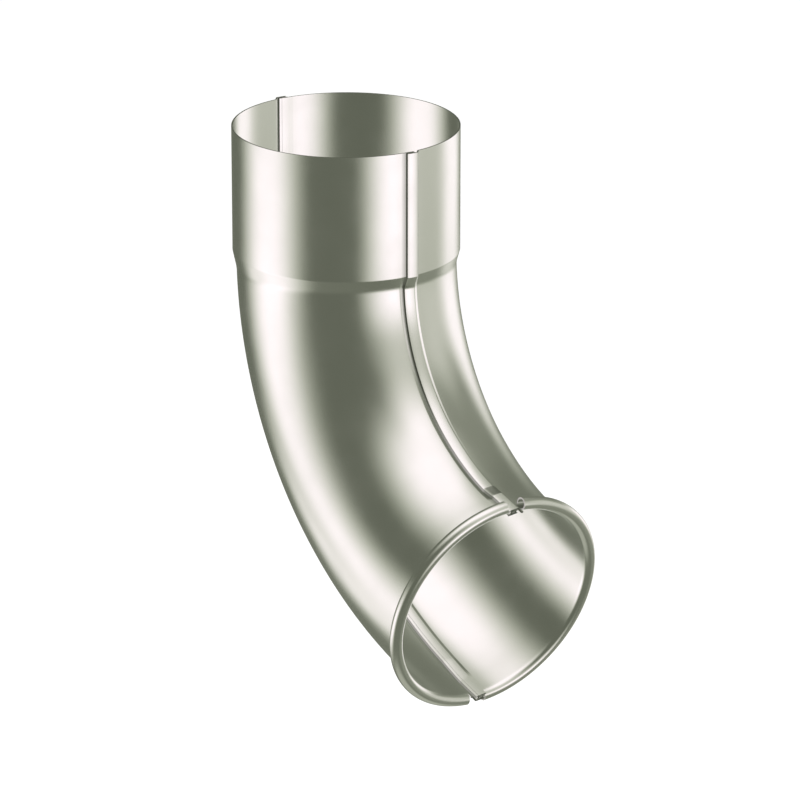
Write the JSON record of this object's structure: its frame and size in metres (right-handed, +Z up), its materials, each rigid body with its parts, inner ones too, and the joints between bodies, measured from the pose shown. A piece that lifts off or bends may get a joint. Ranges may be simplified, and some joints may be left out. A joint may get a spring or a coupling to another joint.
{
  "type": "downspout shoe",
  "caption": "Bent sheet-metal outlet for the foot of a round downspout, with a pipe socket, folded lock seams and a rolled outlet bead.",
  "frame": {"origin": "centre of the socket's mouth, on the pipe's axis", "axes": "+Z up along the pipe's axis and out of the socket; the outlet points towards +X and down; the bend lies in the XZ plane"},
  "size_m": [0.185, 0.1102, 0.2474],
  "materials": {
    "zinc_coated_sheet": "smooth zinc-coated steel, bright, with a soft sheen"
  },
  "bodies": {
    "root": {"left_half_shell": "zinc_coated_sheet", "right_half_shell": "zinc_coated_sheet"}
  },
  "joints": []
}
